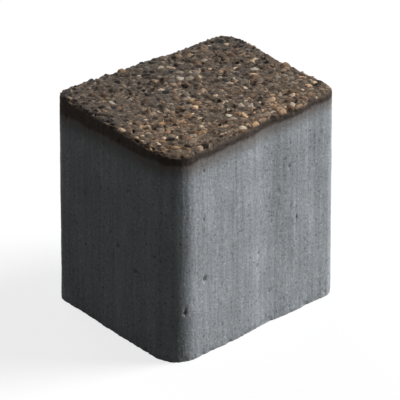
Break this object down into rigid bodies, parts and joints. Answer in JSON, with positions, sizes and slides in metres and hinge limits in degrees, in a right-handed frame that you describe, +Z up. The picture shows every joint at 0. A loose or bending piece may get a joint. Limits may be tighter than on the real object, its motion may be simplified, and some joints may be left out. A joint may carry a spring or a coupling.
{
  "type": "paving block",
  "caption": "Small hewn-look concrete paving block with a brown textured face mix on a grey body, for laying in rows on a sand or grit bed.",
  "frame": {"origin": "on the bed face, under the middle of the footprint's box", "axes": "+X along the front side to the right, +Y from the front to the back, +Z up to the wearing face"},
  "size_m": [0.0814, 0.0686, 0.08],
  "materials": {
    "concrete": "matte"
  },
  "bodies": {
    "root": {"paving_block": "concrete"}
  },
  "joints": []
}
